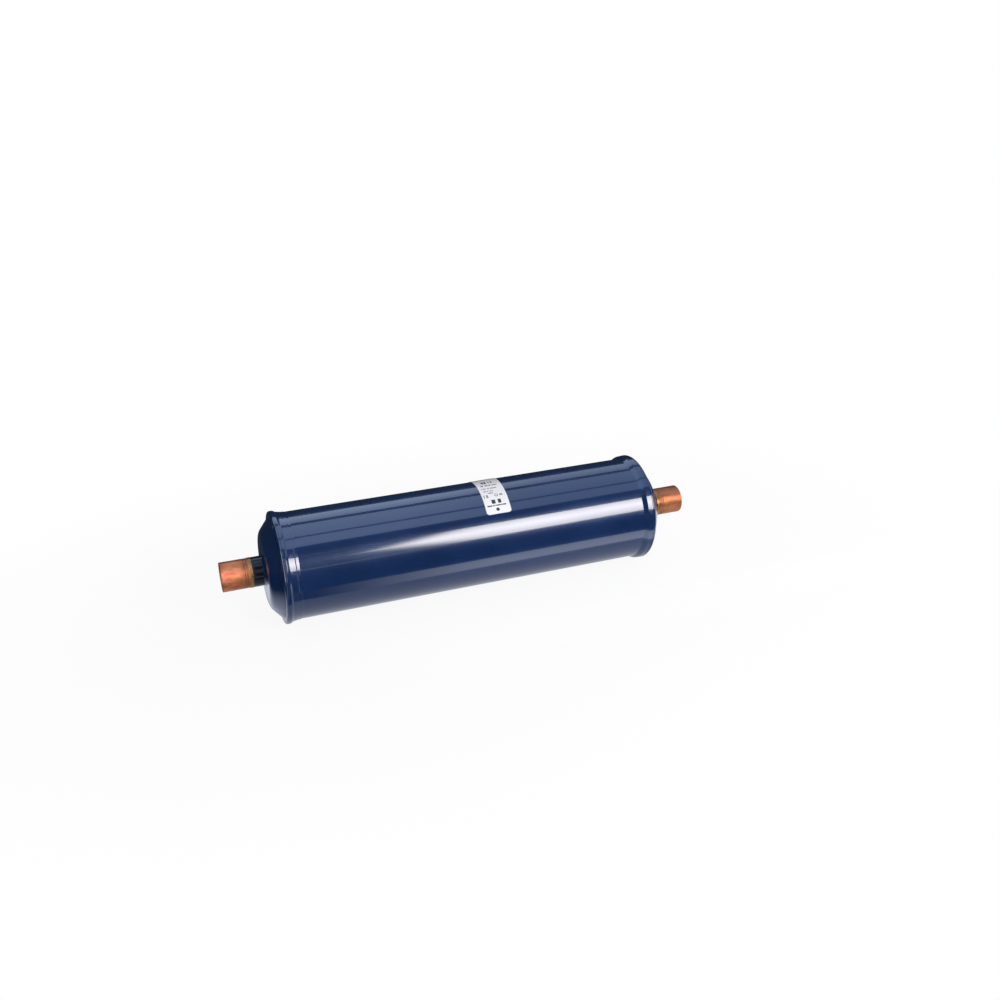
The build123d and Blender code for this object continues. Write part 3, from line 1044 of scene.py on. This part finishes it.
black = card_material("black_card", (0.02, 0.03, 0.05), 1.0)
grey = card_material("grey_card", (0.50, 0.52, 0.58), 1.0)
blue = card_material("blue_card", (0.76, 0.92, 1.22), 1.45, panel_shape)
stripe = card_material("stripe_card", (1.0, 0.90, 0.82), 16.0, stripe_shape)
front = card_material("edge_card", (0.95, 0.97, 1.0), 1.9, rising(0.05, 0.25))
near = card_material("near_card", (0.62, 0.66, 0.78), 1.0, rising(-0.05, 0.012))
rim = card_material("rim_card", (0.93, 0.96, 1.0), 8.0)
print("cards are made of", [material.name for material in (black, grey, blue, stripe, front, near, rim)])

# %% [markdown]
# Most cards are strips that run along the drier, so each is given by its angle above the horizon, from
# the camera's side up and over. Pale blue panels hang overhead, with black gaps between them, and a
# narrow strip beyond the inlet outlines its rim. Black flags keep the rest of the paint dark, and cards
# that lie just above the floor tone down its reflection.

# %% Hang the cards
CARD_DISTANCE = 0.55             # from the axis, where a card needs no other
room_start, room_end = -0.32, 2.0
overhead_start = -0.30
under_start, flag_start = 0.03, 0.055
under_edge, front_edge = -0.072, -0.118
on_floor = floor_height + 0.0004
overhead_panels = ((63.5, 83.0), (86.0, 116.0), (123.0, 146.0))


def glossy_sheet(name, corners, faces, material):
    """A sheet of the stage that only glossy rays see."""
    piece = stage_sheet(name, corners, faces, material)
    piece.visible_camera = False
    piece.visible_diffuse = False
    piece.visible_shadow = False
    piece.visible_transmission = False


def card(name, route, start, end, material):
    """A strip along the axis over a route of places across it."""
    corners = [(along, y, z) for y, z in route for along in (start, end)]
    faces = [(2 * step, 2 * step + 1, 2 * step + 3, 2 * step + 2) for step in range(len(route) - 1)]
    glossy_sheet(name, corners, faces, material)


def arc(low, high, distance=CARD_DISTANCE, steps=8):
    return [across(low + (high - low) * step / steps, distance) for step in range(steps + 1)]


def on_the_floor(*places):
    return [(y, on_floor) for y in places]


card("stripe", arc(16.6, 43.8, 1.0), 0.18, 0.87, stripe)
card("rim_strip", arc(-4.0, 60.0, 0.5), -0.31, -0.16, rim)
card("far_flag", arc(8.0, 52.0, 1.2), -1.20, 0.04, black)
card("near_floor", on_the_floor(-CARD_DISTANCE, 0.08), room_start, under_start, near)
card("under_card", on_the_floor(0.075, under_edge), under_start, 0.40, grey)
card("front_edge", on_the_floor(under_edge, front_edge), under_start, 0.60, front)
card("front_flag", on_the_floor(front_edge, -CARD_DISTANCE) + arc(0.0, 15.0), flag_start, room_end, black)
card("upper_flag", arc(44.0, 63.5), flag_start, room_end, black)
for number, panel in enumerate(overhead_panels):
    card(f"overhead_{number}", arc(*panel), overhead_start, room_end, blue)
for number, (panel, following) in enumerate(zip(overhead_panels, overhead_panels[1:])):
    card(f"gap_{number}", arc(panel[1], following[0]), overhead_start, room_end, black)
card("back_flag", arc(146.0, 180.0) + on_the_floor(CARD_DISTANCE, 0.08), room_start, room_end, black)
flag_corners = [(room_start, y, z) for y, z in (
    (-0.60, floor_height), (0.80, floor_height), (0.80, 0.60), (-0.60, 0.60))]
glossy_sheet("inlet_flag", flag_corners, [(0, 1, 2, 3)], black)

# %% [markdown]
# ## Camera
#
# The camera stands in front of the drier, near its inlet's end, and looks down and toward the outlet
# through a lens of normal length.

# %% Camera
camera_azimuth = -20.29
camera_elevation = 26.58
camera_place = (-0.0400, -0.7560, 0.4315)
camera_data = bpy.data.cameras.new("camera")
camera_data.sensor_width = 36.0
camera_data.lens = 37.6
camera = bpy.data.objects.new("camera", camera_data)
camera.location = camera_place
camera.rotation_euler = (math.radians(90 - camera_elevation), 0.0, math.radians(camera_azimuth))
bpy.context.scene.collection.objects.link(camera)
bpy.context.scene.camera = camera
bpy.context.scene.view_settings.view_transform = "Standard"
print("camera at", camera_place)

# %% [markdown]
